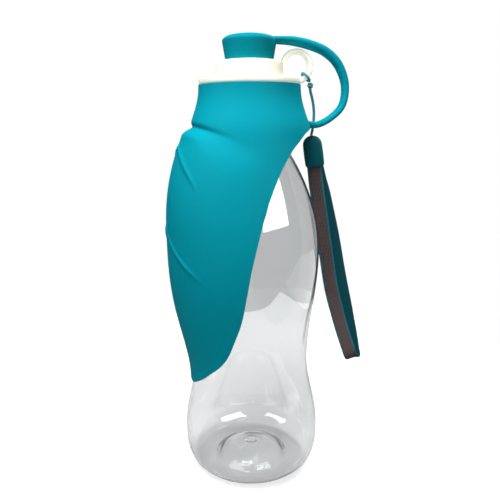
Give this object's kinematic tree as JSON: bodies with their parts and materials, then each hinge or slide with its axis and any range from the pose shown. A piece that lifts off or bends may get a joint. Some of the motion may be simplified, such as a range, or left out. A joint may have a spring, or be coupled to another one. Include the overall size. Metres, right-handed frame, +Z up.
{
  "type": "dog travel water bottle",
  "caption": "Clear travel water bottle with a white screw cap, a plugged spout, a fold-out silicone leaf that serves as a dog's drinking bowl, and a wrist lanyard.",
  "frame": {"origin": "the bottle's axis, in the plane of its standing ring", "axes": "+Z up the bottle's axis; the leaf hangs on the -X side; the strap and the lanyard are on the +X side"},
  "size_m": [0.1244, 0.0892, 0.26],
  "materials": {
    "clear_bottle": "clear, glossy",
    "gasket": "satin",
    "cap_plastic": "satin",
    "silicone": "matte",
    "cord": "braided",
    "bead": "satin",
    "webbing": "woven",
    "facing": "woven"
  },
  "bodies": {
    "bottle": {"bottle": "clear_bottle"},
    "gasket": {"cap_gasket": "gasket"},
    "cap": {"screw_cap": "cap_plastic", "sleeve_collar": "silicone", "strap": "silicone", "lanyard_ring": "cord"},
    "leaf": {"leaf_blade": "silicone"},
    "stopper": {"stopper": "silicone"},
    "lanyard": {"lanyard_knot": "cord", "lanyard_cord": "cord", "lanyard_bead": "bead", "wrist_webbing": "webbing", "wrist_facing": "facing"}
  },
  "joints": [
    {"name": "cap_lift", "type": "slide", "parent": "bottle", "child": "gasket", "axis": [0, 0, 1], "range_m": [0, 0.0061]},
    {"name": "cap_turn", "type": "hinge", "parent": "gasket", "child": "cap", "pos_m": [0, 0, 0.2316], "axis": [0, 0, 1], "range_deg": [0, 540]},
    {"name": "leaf_fold", "type": "hinge", "parent": "cap", "child": "leaf", "pos_m": [-0.0363, 0, 0.21], "axis": [0, 1, 0], "range_deg": [0, 120]},
    {"name": "stopper_pull", "type": "slide", "parent": "cap", "child": "stopper", "axis": [0, 0, 1], "range_m": [0, 0.012]},
    {"name": "lanyard_swing", "type": "hinge", "parent": "cap", "child": "lanyard", "pos_m": [0.0362, 0, 0.2334], "axis": [0, -1, 0], "range_deg": [0, 60]}
  ],
  "couplings": [
    {"joint": "cap_lift", "follows": "cap_turn", "m_per_rad": 0.00063662}
  ]
}
